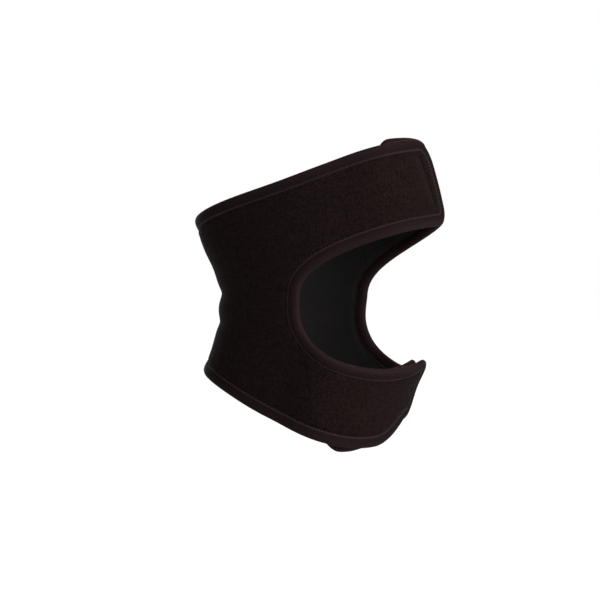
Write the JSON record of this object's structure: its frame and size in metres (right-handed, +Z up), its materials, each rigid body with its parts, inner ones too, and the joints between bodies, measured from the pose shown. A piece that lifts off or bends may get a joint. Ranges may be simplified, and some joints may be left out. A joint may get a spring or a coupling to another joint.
{
  "type": "open patella knee strap",
  "caption": "Worn knee wrap of black foam rubber cloth, open over the kneecap, with taped edges and lapped straps above and below it.",
  "frame": {"origin": "middle of the knee, inside the wrap, where a leg carries it", "axes": "+X to the front of the knee, -Y to the side whose straps lie on top, +Z up the thigh"},
  "size_m": [0.1421, 0.1183, 0.1699],
  "materials": {
    "foam_rubber_cloth": "brushed knit over foam rubber, matt",
    "edge_tape": "ribbed woven tape, matt",
    "hook_tape": "nylon hooks, matt"
  },
  "bodies": {
    "root": {"wrap_panel": "foam_rubber_cloth", "edge_binding": "edge_tape", "upper_hook_patch": "hook_tape", "lower_hook_patch": "hook_tape"}
  },
  "joints": []
}
